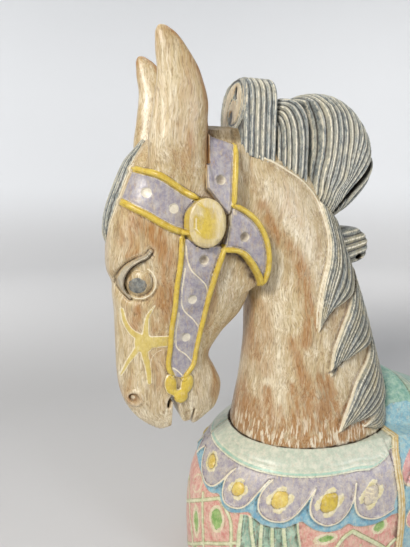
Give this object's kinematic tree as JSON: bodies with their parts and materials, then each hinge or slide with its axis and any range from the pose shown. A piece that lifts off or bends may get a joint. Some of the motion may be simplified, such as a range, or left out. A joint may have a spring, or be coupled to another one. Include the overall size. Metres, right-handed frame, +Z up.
{
  "type": "carousel horse bust",
  "caption": "Carved wooden carousel horse cut as a bust: bridled head tucked down, ribbed mane, arched neck glued to a painted chest with a scalloped cloth and the saddle's front.",
  "frame": {"origin": "middle of the flat underside, below the middle of the whole bust", "axes": "the horse looks along -X, its middle plane is Y = 0, and +Z is up"},
  "size_m": [0.462, 0.2452, 0.632],
  "materials": {
    "limed_wood": "limed, rubbed back, painted in places",
    "painted_wood": "thin matt paint over a pale ground, worn"
  },
  "bodies": {
    "root": {"head_and_neck": "limed_wood", "chest": "painted_wood"}
  },
  "joints": []
}
